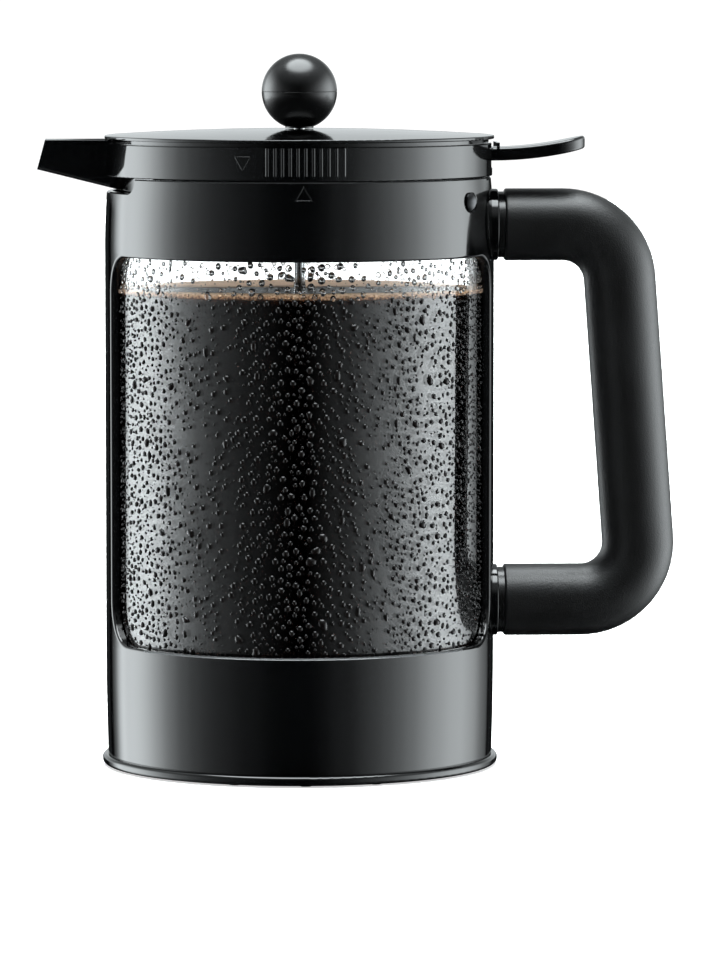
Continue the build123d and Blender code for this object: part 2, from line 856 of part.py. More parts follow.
def dome_arc(from_radius, to_radius, drop):
    """Three points of the dome's profile."""
    radii = (from_radius, (from_radius + to_radius) / 2, to_radius)
    return [(radius, dome_height(radius, drop)) for radius in radii]


with BuildPart() as lid_cover:
    with BuildSketch(Plane.XZ) as cover_profile:
        with BuildLine():
            top = ThreePointArc(*dome_arc(cover_bore, cover_radius, 0))
            underside = ThreePointArc(*dome_arc(ring_inner - cover_wall, cover_bore, cover_wall))
            Polyline(
                top @ 1,
                (cover_radius, cover_step_top),
                (cover_step_radius, cover_step_top),
                (cover_step_radius, ring_top),
                (ring_inner - cover_wall, ring_top),
                underside @ 0,
            )
            Line(underside @ 1, top @ 0)
        make_face()
        fillet(corner(cover_profile, cover_radius, cover_rim_top), cover_rim_round)
        fillet(corner(cover_profile, cover_radius, cover_step_top), cover_rim_round)
    revolve(axis=Axis.Z)

    # Bosses that meet the ring's posts
    boss_top = dome_height(lid_post_circle + lid_post_radius, cover_wall / 2)
    with BuildSketch(Plane.XY.offset(post_top)):
        with PolarLocations(lid_post_circle, lid_screw_count, lid_post_angle):
            Circle(lid_post_radius)
    extrude(amount=boss_top - post_top)
    with BuildSketch(Plane.XY.offset(post_top)):
        with PolarLocations(lid_post_circle, lid_screw_count, lid_post_angle):
            Circle(lid_screw_radius)
    extrude(amount=lid_post_below_ring_top, mode=Mode.SUBTRACT)
lid_cover.part.label = "lid_cover"
export_step(lid_cover.part, "parts/lid_cover.step")

with BuildPart() as lid_screws:
    with BuildSketch(Plane.XY.offset(ring_low - lid_screw_head_height)):
        with PolarLocations(lid_post_circle, lid_screw_count, lid_post_angle):
            Circle(lid_screw_head_radius)
    extrude(amount=lid_screw_head_height)
    with BuildSketch(Plane.XY.offset(ring_low)):
        with PolarLocations(lid_post_circle, lid_screw_count, lid_post_angle):
            Circle(lid_screw_radius)
    extrude(amount=ring_top - lid_screw_tip_gap - ring_low)
lid_screws.part.label = "lid_screws"
export_step(lid_screws.part, "parts/lid_screws.step")

with BuildPart() as rod_bush:
    with BuildSketch(Plane.XY.offset(guide_bottom)):
        Circle(bush_radius)
    extrude(amount=guide_top - guide_bottom)
    with BuildSketch(Plane.XY.offset(guide_top)):
        Circle(bush_radius + bush_flange)
    extrude(amount=bush_flange_thickness)
    with BuildSketch(Plane.XY.offset(guide_bottom)):
        Circle(bush_bore)
    extrude(amount=guide_top - guide_bottom + bush_flange_thickness, mode=Mode.SUBTRACT)
rod_bush.part.label = "rod_bush"
export_step(rod_bush.part, "parts/rod_bush.step")

with BuildPart() as lid_seal:
    # Ring with two lips towards the beaker
    with BuildSketch(Plane.XZ):
        with BuildLine():
            Polyline(
                (seal_inner, seal_low),
                (seal_outer, seal_low),
                (seal_outer, seal_low + seal_lip_height),
                (seal_outer - seal_lip, seal_low + seal_lip_height + seal_lip),
                (seal_outer - seal_lip, seal_high - seal_lip_height - seal_lip),
                (seal_outer, seal_high - seal_lip_height),
                (seal_outer, seal_high),
                (seal_inner, seal_high),
                close=True,
            )
        make_face()
    revolve(axis=Axis.Z)
lid_seal.part.label = "lid_seal"
export_step(lid_seal.part, "parts/lid_seal.step")

# ---------------------------------------------------------------- pouring lever and valve
eye_inner = guide_radius + lever_eye_clearance
eye_outer = eye_inner + lever_eye_wall
arm_end = ring_inner - lid_ring_wall / 2
arm_half = lever_arm_width / 2
pad_half = lever_pad_width / 2
lip_x = cover_radius + lever_lip_gap

with BuildPart() as thumb_pad:
    # Side view of the pad, level through the ring and then curving up
    with BuildSketch(Plane.XZ):
        with BuildLine():
            lower = Line((arm_end, pad_bottom), (pad_root, pad_bottom))
            under = TangentArc(
                (pad_root, pad_bottom), (pad_tip, pad_bottom + lever_pad_rise), tangent=lower % 1
            )
            Line(under @ 1, (pad_tip, pad_top + lever_pad_rise))
            TangentArc(
                (pad_root, pad_top), (pad_tip, pad_top + lever_pad_rise), tangent=lower % 1
            )
            Polyline((pad_root, pad_top), (arm_end, pad_top), lower @ 0)
        make_face()
    extrude(amount=pad_half, both=True)
    # Plan view, with a round end
    with BuildSketch(Plane.XY.offset(pad_bottom)):
        with Locations(((arm_end + pad_tip - pad_half) / 2, 0)):
            Rectangle(pad_tip - pad_half - arm_end, lever_pad_width)
        with Locations((pad_tip - pad_half, 0)):
            Circle(pad_half)
    extrude(amount=lever_pad_thickness + lever_pad_rise, mode=Mode.INTERSECT)
    pad_outline = thumb_pad.edges().filter_by(
        lambda edge: edge.center().X > pad_root + PICK_TOLERANCE
        and abs((edge % 0.5).Z) < sin(radians(lever_pad_edge_slope))
    )
    fillet(pad_outline, lever_pad_round)

with BuildPart() as pour_lever:
    # Arm, which passes round the rod's guide as an eye
    with BuildSketch(Plane.XY.offset(arm_bottom)):
        with Locations((-port_offset, 0)):
            Circle(arm_half)
        with Locations((-(port_offset + eye_inner) / 2, 0)):
            Rectangle(port_offset - eye_inner, lever_arm_width)
        with Locations(((eye_inner + arm_end) / 2, 0)):
            Rectangle(arm_end - eye_inner, lever_arm_width)
        with BuildLine():
            Polyline(
                (lever_pivot_offset + lever_widening_start, -arm_half),
                (arm_end, -lever_root_width / 2),
                (arm_end, lever_root_width / 2),
                (lever_pivot_offset + lever_widening_start, arm_half),
                close=True,
            )
        make_face()
        Circle(eye_outer)
        Circle(eye_inner, mode=Mode.SUBTRACT)
        with Locations((-port_offset, 0)):
            Circle(plug_stem_radius, mode=Mode.SUBTRACT)
    extrude(amount=lever_arm_thickness)

    # Barrel on the pin
    with BuildSketch(Plane.XZ):
        with Locations((lever_pivot_offset, lever_pivot_z)):
            Circle(lever_barrel_radius)
    extrude(amount=arm_half, both=True)
    with BuildSketch(Plane.XZ):
        with Locations((lever_pivot_offset, lever_pivot_z)):
            Circle(pin_radius + pin_running_clearance)
    extrude(amount=arm_half, both=True, mode=Mode.SUBTRACT)

    # Thumb pad, and the lip that hides the slot in the ring
    add(thumb_pad.part)
    with BuildSketch(Plane.XY.offset(pad_bottom + lever_pad_thickness / 2)):
        with Locations((lip_x + lever_lip_thickness / 2, 0)):
            Rectangle(lever_lip_thickness, lever_pad_width)
    extrude(amount=lever_pad_thickness / 2 + lever_lip_height)
pour_lever.part.label = "pour_lever"
export_step(pour_lever.part, "parts/pour_lever.step")

with BuildPart() as lever_pin:
    with BuildSketch(Plane.XZ):
        with Locations((lever_pivot_offset, lever_pivot_z)):
            Circle(pin_radius)
    extrude(amount=ear_offset + ear_thickness, both=True)
lever_pin.part.label = "lever_pin"
export_step(lever_pin.part, "parts/lever_pin.step")

with BuildPart() as lever_spring:
    with BuildLine() as spring_line:
        Helix(
            pitch=spring_pitch,
            height=arm_bottom - pocket_floor - spring_wire,
            radius=spring_radius,
            center=(spring_offset, 0, pocket_floor + spring_wire / 2),
        )
    with BuildSketch(Plane(origin=spring_line.line @ 0, z_dir=spring_line.line % 0)):
        Circle(spring_wire / 2)
    sweep(path=spring_line.line, is_frenet=True)
lever_spring.part.label = "lever_spring"
export_step(lever_spring.part, "parts/lever_spring.step")

with BuildPart() as valve_plug:
    plug_bottom = floor_top + plug_lift_gap
    with BuildSketch(Plane.XY.offset(plug_bottom)):
        with Locations((-port_offset, 0)):
            Circle(port_radius + plug_overlap)
    extrude(amount=plug_thickness)
    with BuildSketch(Plane.XY.offset(plug_bottom + plug_thickness)):
        with Locations((-port_offset, 0)):
            Circle(plug_collar_radius)
    extrude(amount=arm_bottom - plug_bottom - plug_thickness)
    with BuildSketch(Plane.XY.offset(arm_bottom)):
        with Locations((-port_offset, 0)):
            Circle(plug_stem_radius)
    extrude(amount=lever_arm_thickness)
    with BuildSketch(Plane.XY.offset(arm_top)):
        with Locations((-port_offset, 0)):
            Circle(plug_bead_radius)
    extrude(amount=plug_bead_height)
valve_plug.part.label = "valve_plug"
export_step(valve_plug.part, "parts/valve_plug.step")

# ---------------------------------------------------------------- plunger
neck_angle = degrees(atan2(knob_neck_top - knob_centre, knob_neck_radius))

with BuildPart() as knob_base:
    with BuildSketch(Plane.XZ) as base_profile:
        with BuildLine():
            ball = CenterArc((0, knob_centre), knob_radius, neck_angle, -neck_angle)
            Polyline(
                ball @ 1,
                (insert_radius, knob_centre),
                (insert_radius, knob_flat),
                (knob_neck_radius, knob_flat),
                ball @ 0,
            )
        make_face()
        chamfer(corner(base_profile, knob_radius, knob_centre), knob_parting_chamfer)
    revolve(axis=Axis.Z)
knob_base.part.label = "knob_base"
export_step(knob_base.part, "parts/knob_base.step")

with BuildPart() as knob_cap:
    with BuildSketch(Plane.XZ) as cap_profile:
        with BuildLine():
            ball = CenterArc((0, knob_centre), knob_radius, 0, 90)
            Polyline(
                ball @ 1,
                (0, insert_top),
                (insert_radius, insert_top),
                (insert_radius, knob_centre),
                ball @ 0,
            )
        make_face()
        chamfer(corner(cap_profile, knob_radius, knob_centre), knob_parting_chamfer)
    revolve(axis=Axis.Z)
knob_cap.part.label = "knob_cap"
export_step(knob_cap.part, "parts/knob_cap.step")

with BuildPart() as knob_insert:
    with BuildSketch(Plane.XY.offset(knob_flat)):
        Circle(insert_radius)
    extrude(amount=insert_top - knob_flat)
    with BuildSketch(Plane.XY.offset(knob_flat)):
        Circle(rod_radius)
    extrude(amount=rod_top - knob_flat, mode=Mode.SUBTRACT)
knob_insert.part.label = "knob_insert"
export_step(knob_insert.part, "parts/knob_insert.step")

with BuildPart() as plunger_rod:
    with BuildSketch(Plane.XY.offset(nut_bottom + rod_end_inside_nut)):
        Circle(rod_radius)
    extrude(amount=rod_top - nut_bottom - rod_end_inside_nut)
plunger_rod.part.label = "plunger_rod"
export_step(plunger_rod.part, "parts/plunger_rod.step")

with BuildPart() as filter_nut:
    with BuildSketch(Plane.XY.offset(nut_bottom)):
        RegularPolygon(nut_across_flats / 2, 6, major_radius=False)
        Circle(rod_radius, mode=Mode.SUBTRACT)
    extrude(amount=nut_height)
filter_nut.part.label = "filter_nut"
export_step(filter_nut.part, "parts/filter_nut.step")

with BuildPart() as cross_plate:
    with BuildSketch(Plane.XY.offset(cross_plate_bottom)):
        Circle(plate_radius)
        Circle(rod_radius, mode=Mode.SUBTRACT)
        with PolarLocations(cross_plate_opening_circle, cross_plate_openings):
            Circle(cross_plate_opening_radius, mode=Mode.SUBTRACT)
    extrude(amount=cross_plate_thickness)
cross_plate.part.label = "cross_plate"
export_step(cross_plate.part, "parts/cross_plate.step")

with BuildPart() as filter_screen:
    with BuildSketch(Plane.XY.offset(screen_bottom)):
        Circle(screen_radius)
        Circle(rod_radius, mode=Mode.SUBTRACT)
    extrude(amount=screen_thickness)
filter_screen.part.label = "filter_screen"
export_step(filter_screen.part, "parts/filter_screen.step")

with BuildPart() as filter_coil:
    with BuildSketch(Plane.XZ):
        with Locations((coil_radius, top_plate_bottom + coil_wire_radius)):
            Circle(coil_wire_radius)
    revolve(axis=Axis.Z)
filter_coil.part.label = "filter_coil"
export_step(filter_coil.part, "parts/filter_coil.step")

with BuildPart() as top_plate:
    with BuildSketch(Plane.XY.offset(top_plate_bottom)):
        Circle(plate_radius)
        Circle(rod_radius, mode=Mode.SUBTRACT)
        with PolarLocations(top_plate_slot_circle, top_plate_slots):
            SlotOverall(top_plate_slot_length, top_plate_slot_width, mode=Mode.SUBTRACT)
    extrude(amount=top_plate_thickness)
    with BuildSketch(Plane.XY.offset(top_plate_bottom)):
        Circle(plate_radius)
        Circle(plate_radius - top_plate_lip, mode=Mode.SUBTRACT)
    extrude(amount=2 * coil_wire_radius)
top_plate.part.label = "top_plate"
export_step(top_plate.part, "parts/top_plate.step")

with BuildPart() as filter_hub:
    with BuildSketch(Plane.XY.offset(collar_nut_bottom)):
        Circle(collar_nut_radius)
        Circle(rod_radius, mode=Mode.SUBTRACT)
    extrude(amount=collar_nut_height)
filter_hub.part.label = "filter_hub"
export_step(filter_hub.part, "parts/filter_hub.step")
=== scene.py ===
import json
import math
import random

import bpy
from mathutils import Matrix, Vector


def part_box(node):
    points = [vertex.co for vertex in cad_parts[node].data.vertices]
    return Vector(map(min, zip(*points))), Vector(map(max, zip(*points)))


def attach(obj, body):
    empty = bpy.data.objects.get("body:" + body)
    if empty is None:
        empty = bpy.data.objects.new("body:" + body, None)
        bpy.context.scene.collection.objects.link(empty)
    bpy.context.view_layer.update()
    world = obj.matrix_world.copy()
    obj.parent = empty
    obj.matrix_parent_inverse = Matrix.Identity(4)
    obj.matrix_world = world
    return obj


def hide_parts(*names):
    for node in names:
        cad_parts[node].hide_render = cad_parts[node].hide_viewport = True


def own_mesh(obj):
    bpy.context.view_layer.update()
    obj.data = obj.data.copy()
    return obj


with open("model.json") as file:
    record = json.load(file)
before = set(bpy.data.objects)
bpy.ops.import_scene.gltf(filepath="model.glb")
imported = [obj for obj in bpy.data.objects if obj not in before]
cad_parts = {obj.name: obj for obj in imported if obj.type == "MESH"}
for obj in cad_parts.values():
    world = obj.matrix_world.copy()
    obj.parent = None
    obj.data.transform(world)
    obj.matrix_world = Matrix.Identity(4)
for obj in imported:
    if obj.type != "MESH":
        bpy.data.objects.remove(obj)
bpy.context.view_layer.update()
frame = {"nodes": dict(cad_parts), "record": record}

# The cold brew maker's looks, in metres, in the CAD model's frame: origin on the pot's axis at
# the surface it stands on, spout to -X, handle to +X, front window to -Y. Angles are in degrees.

scene = bpy.context.scene
MM = 0.001
HAIR = 0.01 * MM

# ---------------------------------------------------------------- places taken from the CAD
# The beaker and the space inside it
beaker_low, beaker_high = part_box("beaker")
BEAKER_R = beaker_high.x
BEAKER_WALL = 2.0 * MM
BEAKER_FLOOR = 2.2 * MM
BORE = BEAKER_R - BEAKER_WALL
INSIDE = beaker_low.z + BEAKER_FLOOR
INSIDE_ROUND = 3.0 * MM

# The frame's windows, from the sill up, with their rounded corners
FRONT, BACK = -90.0, 90.0
WINDOW_HALF = 76.0
SILL = 41.2 * MM
SILL_ROUND = 14.5 * MM
WINDOW_TOP = 166.0 * MM
WINDOW_TOP_ROUND = 11.5 * MM

# The frame's base flange, and its upper band, which leans in towards the top
FLANGE_R = 64.2 * MM
FLANGE_ROUND = 1.3 * MM
FLANGE_BOTTOM = 0.6 * MM
FLANGE_TOP = 3.7 * MM
BODY_R = 63.0 * MM
BAND_START = 167.2 * MM
BAND_TOP = 191.15 * MM
BAND_LEAN = 1.1 * MM

# The lid's ring
RING_R = 62.4 * MM
RING_TOP = 202.2 * MM

# The coffee, which is no part of the object
COFFEE_TOP = 154.2 * MM
MENISCUS = 0.6 * MM


# ---------------------------------------------------------------- mesh helpers
def outward(angle):
    """The direction out from the pot's axis at an angle."""
    a = math.radians(angle)
    return Vector((math.cos(a), math.sin(a), 0))


def sideways(angle):
    """The direction round the pot's axis at an angle."""
    a = math.radians(angle)
    return Vector((-math.sin(a), math.cos(a), 0))


def at(radius, angle, z):
    """A point at a radius and an angle round the pot's axis."""
    a = math.radians(angle)
    return Vector((radius * math.cos(a), radius * math.sin(a), z))


def add_mesh(name, verts, faces, body, mat, smooth=True):
    """A mesh object made of these points and faces that rides on a body."""
    mesh = bpy.data.meshes.new(name)
    mesh.from_pydata([tuple(v) for v in verts], [], faces)
    mesh.validate()
    mesh.update()
    if smooth:
        mesh.shade_smooth()
    obj = bpy.data.objects.new(name, mesh)
    scene.collection.objects.link(obj)
    mesh.materials.append(mat)
    if body:
        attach(obj, body)
    return obj


def lathe(name, profile, body, mat, segments=192):
    """A closed turned shape. The profile runs from the axis round to the axis again."""
    verts, faces, rows = [], [], []
    for r, z in profile:
        if r < 1e-7:
            rows.append([len(verts)])
            verts.append(Vector((0, 0, z)))
        else:
            rows.append([len(verts) + k for k in range(segments)])
            verts += [at(r, 360.0 * k / segments, z) for k in range(segments)]
    for low, high in zip(rows, rows[1:]):
        for k in range(segments):
            n = (k + 1) % segments
            if len(low) == 1:
                faces.append((low[0], high[n], high[k]))
            elif len(high) == 1:
                faces.append((low[k], low[n], high[0]))
            else:
                faces.append((low[k], low[n], high[n], high[k]))
    return add_mesh(name, verts, faces, body, mat)


# ---------------------------------------------------------------- node helpers
# For each kind of blend, a Mix node's sockets for the two values and for the result
MIX_SOCKETS = {"VECTOR": (4, 5, 1), "RGBA": (6, 7, 2)}


class Tree:
    """A node tree, with short calls for the nodes that are used here."""

    def __init__(self, tree):
        self.tree = tree
        tree.nodes.clear()

    def new(self, kind, **settings):
        node = self.tree.nodes.new(kind)
        for key, value in settings.items():
            setattr(node, key, value)
        return node

    def feed(self, value, socket):
        """Links an output to the socket, or sets a plain value on it."""
        if isinstance(value, bpy.types.NodeSocket):
            self.tree.links.new(value, socket)
        else:
            socket.default_value = value

    def xyz(self, vector):
        node = self.new("ShaderNodeSeparateXYZ")
        self.feed(vector, node.inputs[0])
        return node.outputs

    def math(self, operation, a, b=0.0):
        node = self.new("ShaderNodeMath", operation=operation)
        self.feed(a, node.inputs[0])
        self.feed(b, node.inputs[1])
        return node.outputs[0]

    def range(self, source, low, high, to_low=0.0, to_high=1.0, kind="LINEAR"):
        node = self.new("ShaderNodeMapRange", interpolation_type=kind)
        for key, value in (
            ("Value", source), ("From Min", low), ("From Max", high),
            ("To Min", to_low), ("To Max", to_high),
        ):
            self.feed(value, node.inputs[key])
        return node.outputs["Result"]

    def colours(self, source, *stops, kind="LINEAR"):
        node = self.new("ShaderNodeValToRGB")
        ramp = node.color_ramp
        ramp.interpolation = kind
        while len(ramp.elements) < len(stops):
            ramp.elements.new(0.5)
        for element, (position, colour) in zip(ramp.elements, stops):
            element.position = position
            element.color = (*colour, 1.0)
        self.feed(source, node.inputs["Fac"])
        return node.outputs["Color"]

    def choose(self, share, first, second):
        """One shader or the other, by a share."""
        node = self.new("ShaderNodeMixShader")
        for k, value in enumerate((share, first, second)):
            self.feed(value, node.inputs[k])
        return node.outputs[0]


class Material(Tree):
    """A material with one surface shader, patterned by the object's own coordinates."""

    def __init__(self, name):
        self.mat = bpy.data.materials.new(name)
        self.mat.use_nodes = True
        super().__init__(self.mat.node_tree)
        self.out = self.new("ShaderNodeOutputMaterial")
        self.bsdf = self.new("ShaderNodeBsdfPrincipled")
        self.feed(self.bsdf.outputs[0], self.out.inputs["Surface"])
        self.place = self.new("ShaderNodeTexCoord").outputs["Object"]

    def set(self, **sockets):
        for name, value in sockets.items():
            self.bsdf.inputs[name.replace("_", " ")].default_value = value

    def to(self, source, socket):
        self.feed(source, self.bsdf.inputs[socket])

    def noise(self, scale, detail=3.0, roughness=0.55, stretch=None):
        vector = self.place
        if stretch:
            mapping = self.new("ShaderNodeMapping")
            mapping.inputs["Scale"].default_value = stretch
            self.feed(self.place, mapping.inputs["Vector"])
            vector = mapping.outputs["Vector"]
        node = self.new("ShaderNodeTexNoise")
        for key, value in (
            ("Vector", vector), ("Scale", scale), ("Detail", detail), ("Roughness", roughness)
        ):
            self.feed(value, node.inputs[key])
        return node.outputs["Fac"]

    def cells(self, scale):
        node = self.new("ShaderNodeTexVoronoi")
        self.feed(self.place, node.inputs["Vector"])
        self.feed(scale, node.inputs["Scale"])
        return node.outputs["Distance"]

    def bump(self, height, distance, normal=None):
        node = self.new("ShaderNodeBump")
        node.inputs["Strength"].default_value = 1.0
        self.feed(height, node.inputs["Height"])
        self.feed(distance, node.inputs["Distance"])
        if normal is not None:
            self.feed(normal, node.inputs["Normal"])
        return node.outputs["Normal"]

    def plain_normal(self):
        return self.new("ShaderNodeNewGeometry").outputs["Normal"]

    def vector(self, operation, *sources):
        node = self.new("ShaderNodeVectorMath", operation=operation)
        for k, source in enumerate(sources):
            self.feed(source, node.inputs[k])
        return node.outputs[0]

    def combine(self, **axes):
        """A vector from the values given for X, Y and Z; the others stay 0."""
        node = self.new("ShaderNodeCombineXYZ")
        for axis, value in axes.items():
            self.feed(value, node.inputs[axis])
        return node.outputs[0]

    def mix(self, kind, share, first, second):
        """A blend of two vectors or two colours, by a share."""
        first_socket, second_socket, result = MIX_SOCKETS[kind]
        node = self.new("ShaderNodeMix", data_type=kind)
        self.feed(share, node.inputs[0])
        self.feed(first, node.inputs[first_socket])
        self.feed(second, node.inputs[second_socket])
        return node.outputs[result]


# ---------------------------------------------------------------- shading of moulded edges
# How far the flange's shading reaches up over it and in from its rim
FLANGE_OVER = 0.03 * MM
FLANGE_DEPTH = 2.2 * MM

# Edges of the frame that are rounded in its shading and carry a painted highlight line in their
# colour: from and to which height, and how far to both sides of the middle
EVERYWHERE = 1.0
FRAME_EDGES = (
    (BAND_TOP - 0.4 * MM, BAND_TOP - HAIR, EVERYWHERE),
    (SILL - 0.7 * MM, SILL - HAIR, 51 * MM),
)
PAINTED_EDGE_HIGHLIGHT = (0.09, 0.093, 0.096, 1.0)
EDGE_TILTS = (0.2, 1.6)
GROOVE_HEIGHT = 0.45 * MM
GROOVE_TILTS = (-1.2, -1.2)


def flange_normal(g):
    """The frame's normal, worked out exactly on the base flange's small rounds."""
    x, y, z = g.xyz(g.place)
    radius = g.math("SQRT", g.math("ADD", g.math("MULTIPLY", x, x), g.math("MULTIPLY", y, y)))
    past_round = g.math("MAXIMUM", g.math("SUBTRACT", radius, FLANGE_R - FLANGE_ROUND), 0.0)
    level = g.math("MINIMUM", z, FLANGE_TOP - FLANGE_ROUND)
    level = g.math("MAXIMUM", level, FLANGE_BOTTOM + FLANGE_ROUND)
    share = g.math("DIVIDE", past_round, radius)
    exact = g.combine(
        X=g.math("MULTIPLY", x, share),
        Y=g.math("MULTIPLY", y, share),
        Z=g.math("SUBTRACT", z, level),
    )
    on_flange = g.math(
        "MULTIPLY",
        g.math("LESS_THAN", z, FLANGE_TOP + FLANGE_OVER),
        g.math("GREATER_THAN", radius, FLANGE_R - FLANGE_DEPTH),
    )
    return g.mix("VECTOR", on_flange, g.plain_normal(), g.vector("NORMALIZE", exact))


def between(g, low, high, reach):
    """1 in a thin band of height and within a reach to both sides, else 0; and the height."""
    x, _, z = g.xyz(g.place)
    level = g.math("MULTIPLY", g.math("GREATER_THAN", z, low), g.math("LESS_THAN", z, high))
    near = g.math("LESS_THAN", g.math("ABSOLUTE", x), reach)
    return g.math("MULTIPLY", level, near), z


def edge_normal(g, normal, low, high, tilts, reach):
    """Tilts the normal across a thin band of height, as a moulded edge's round or groove does."""
    inside, z = between(g, low, high, reach)
    tilt = g.combine(Z=g.math("MULTIPLY", inside, g.range(z, low, high, *tilts)))
    return g.vector("NORMALIZE", g.vector("ADD", normal, tilt))


def frame_normal(g):
    """Exact flange, and the small rounds on the band's upper edge and on the sill's edge."""
    normal = flange_normal(g)
    for low, high, reach in FRAME_EDGES:
        normal = edge_normal(g, normal, low, high, EDGE_TILTS, reach)
    return normal


def ring_normal(g):
    """The fine groove at the top of the lid's ring, under the cover's rim."""
    low, high = RING_TOP - GROOVE_HEIGHT, RING_TOP - HAIR
    return edge_normal(g, g.plain_normal(), low, high, GROOVE_TILTS, EVERYWHERE)


# ---------------------------------------------------------------- the object's materials
def moulded(name, dark, light, rough_low, rough_high, peel, ior=1.5, shape=None, edges=()):
    """Injection moulded plastic: faint flow marks, uneven gloss and a slight orange peel."""
    g = Material(name)
    g.set(IOR=ior)
    flow = g.noise(38.0, 4.0, 0.6, (1.0, 1.0, 0.35))
    colour = g.colours(flow, (0.3, dark), (0.75, light))
    # Painted highlight: thin bands along the frame's rounded edges get a lighter grey base colour
    for low, high, reach in edges:
        colour = g.mix("RGBA", between(g, low, high, reach)[0], colour, PAINTED_EDGE_HIGHLIGHT)
    g.to(colour, "Base Color")
    smudge = g.noise(55.0, 5.0, 0.6)
    g.to(g.range(smudge, 0.35, 0.7, rough_low, rough_high), "Roughness")
    skin = g.noise(420.0, 2.0, 0.4)
    fine = g.noise(2600.0, 2.0, 0.5)
    normal = shape(g) if shape else None
    g.to(g.bump(fine, peel * 0.12, g.bump(skin, peel, normal)), "Normal")
    return g.mat


def metal(name, colour, rough_low, rough_high, brushed, along=(1.0, 1.0, 1.0)):
    """Metal with fine brushing along one direction and faint stains."""
    g = Material(name)
    g.set(Metallic=1.0)
    stain = g.noise(70.0, 4.0)
    stained = tuple(c * 0.86 for c in colour)
    g.to(g.colours(stain, (0.3, stained), (0.7, colour)), "Base Color")
    lines = g.noise(2200.0, 3.0, 0.6, along)
    g.to(g.range(lines, 0.3, 0.7, rough_low, rough_high), "Roughness")
    g.to(g.bump(lines, brushed), "Normal")
    return g.mat


def rubbery(name, dark, light, grain_scale, grain, rough_low, rough_high):
    """Soft-touch or rubber surface with a fine even grain."""
    g = Material(name)
    g.set(IOR=1.48)
    tone = g.noise(60.0, 4.0)
    g.to(g.colours(tone, (0.3, dark), (0.7, light)), "Base Color")
    pits = g.cells(grain_scale)
    dust = g.noise(grain_scale * 0.6, 4.0, 0.65)
    both = g.math("ADD", g.math("MULTIPLY", pits, 0.6), dust)
    g.to(g.range(dust, 0.3, 0.7, rough_low, rough_high), "Roughness")
    g.to(g.bump(both, grain), "Normal")
    return g.mat


def clear_wall():
    """The beaker's clear wall, with a faint haze and ripple."""
    g = Material("clear_wall")
    g.set(Transmission_Weight=1.0, IOR=1.5)
    low, high = (0.965, 0.97, 0.968), (0.985, 0.988, 0.986)
    g.to(g.colours(g.noise(30.0), (0.2, low), (0.8, high)), "Base Color")
    g.to(g.range(g.noise(90.0, 5.0), 0.2, 0.85, 0.0, 0.02), "Roughness")
    g.to(g.bump(g.noise(12.0, 1.0), 3e-6), "Normal")
    return g.mat


# The values shared by all glossy black mouldings
GLOSS = ((0.0007, 0.0008, 0.0009), (0.0013, 0.0014, 0.0016), 0.05, 0.1, 2.2e-6, 1.5)

# By material slot, or by node for a node whose material is its own
mats = {
    "black_gloss": moulded("black_gloss", *GLOSS),
    "frame": moulded("frame_gloss", *GLOSS, frame_normal, FRAME_EDGES),
    "lid_body": moulded("lid_gloss", *GLOSS, ring_normal),
    "black_satin": moulded(
        "black_satin", (0.0014, 0.0015, 0.0016), (0.0026, 0.0027, 0.0029), 0.2, 0.28, 5e-6, 1.47
    ),
    "grip_soft": rubbery(
        "grip_soft", (0.0016, 0.0017, 0.0019), (0.0042, 0.0045, 0.0049), 2600.0, 5.5e-5, 0.33, 0.43
    ),
    "cushion_rubber": rubbery(
        "cushion_rubber", (0.03, 0.03, 0.03), (0.05, 0.05, 0.05), 1500.0, 6e-5, 0.55, 0.75
    ),
    "seal_rubber": rubbery(
        "seal_rubber", (0.012, 0.012, 0.012), (0.02, 0.02, 0.02), 1800.0, 4e-5, 0.4, 0.6
    ),
    "plated_steel": metal(
        "plated_steel", (0.62, 0.63, 0.64), 0.06, 0.16, 1.5e-6, (1.0, 1.0, 0.03)
    ),
    "sheet_steel": metal("sheet_steel", (0.5, 0.5, 0.49), 0.24, 0.4, 6e-6, (0.05, 1.0, 1.0)),
    "screw_steel": metal("screw_steel", (0.42, 0.42, 0.41), 0.22, 0.38, 6e-6),
    "insert_brass": metal("insert_brass", (0.72, 0.5, 0.2), 0.18, 0.32, 5e-6, (1.0, 1.0, 0.05)),
    "side_studs": metal("stud_steel", (0.045, 0.046, 0.048), 0.08, 0.16, 1.5e-6),
    "clear_wall": clear_wall(),
}

for entry in frame["record"]["subparts"]:
    node = frame["nodes"][entry["node"]]
    slot = entry["node"] if entry["node"] in mats else entry["material_slot"]
    node.data.materials.clear()
    node.data.materials.append(mats[slot])
    for polygon in node.data.polygons:
        polygon.material_index = 0

# ---------------------------------------------------------------- the coffee's materials
# The foam and the far part of the surface glow as if the light wall behind shone through them
FROTH_GLOW = (0.72, 0.56, 0.44, 1.0)


def coffee_against_wall():
    """Nearly black, and brown where it thins out at its surface."""
    g = Material("coffee_against_wall")
    g.set(IOR=1.46)
    rise = g.range(g.xyz(g.place)["Z"], COFFEE_TOP - 2.2 * MM, COFFEE_TOP + 1.0 * MM)
    blotch = g.math("MULTIPLY", g.noise(24.0, 4.0), 0.16)
    colour = g.colours(
        g.math("ADD", rise, blotch),
        (0.0, (0.0009, 0.0004, 0.0004)), (0.16, (0.0022, 0.0009, 0.0007)),
        (0.62, (0.02, 0.0065, 0.003)), (0.95, (0.16, 0.06, 0.025)),
    )
    g.to(colour, "Base Color")
    g.to(g.range(g.noise(60.0, 3.0), 0.3, 0.8, 0.05, 0.15), "Roughness")
    g.to(g.bump(g.noise(45.0, 2.0), 2e-5), "Normal")
    return g.mat


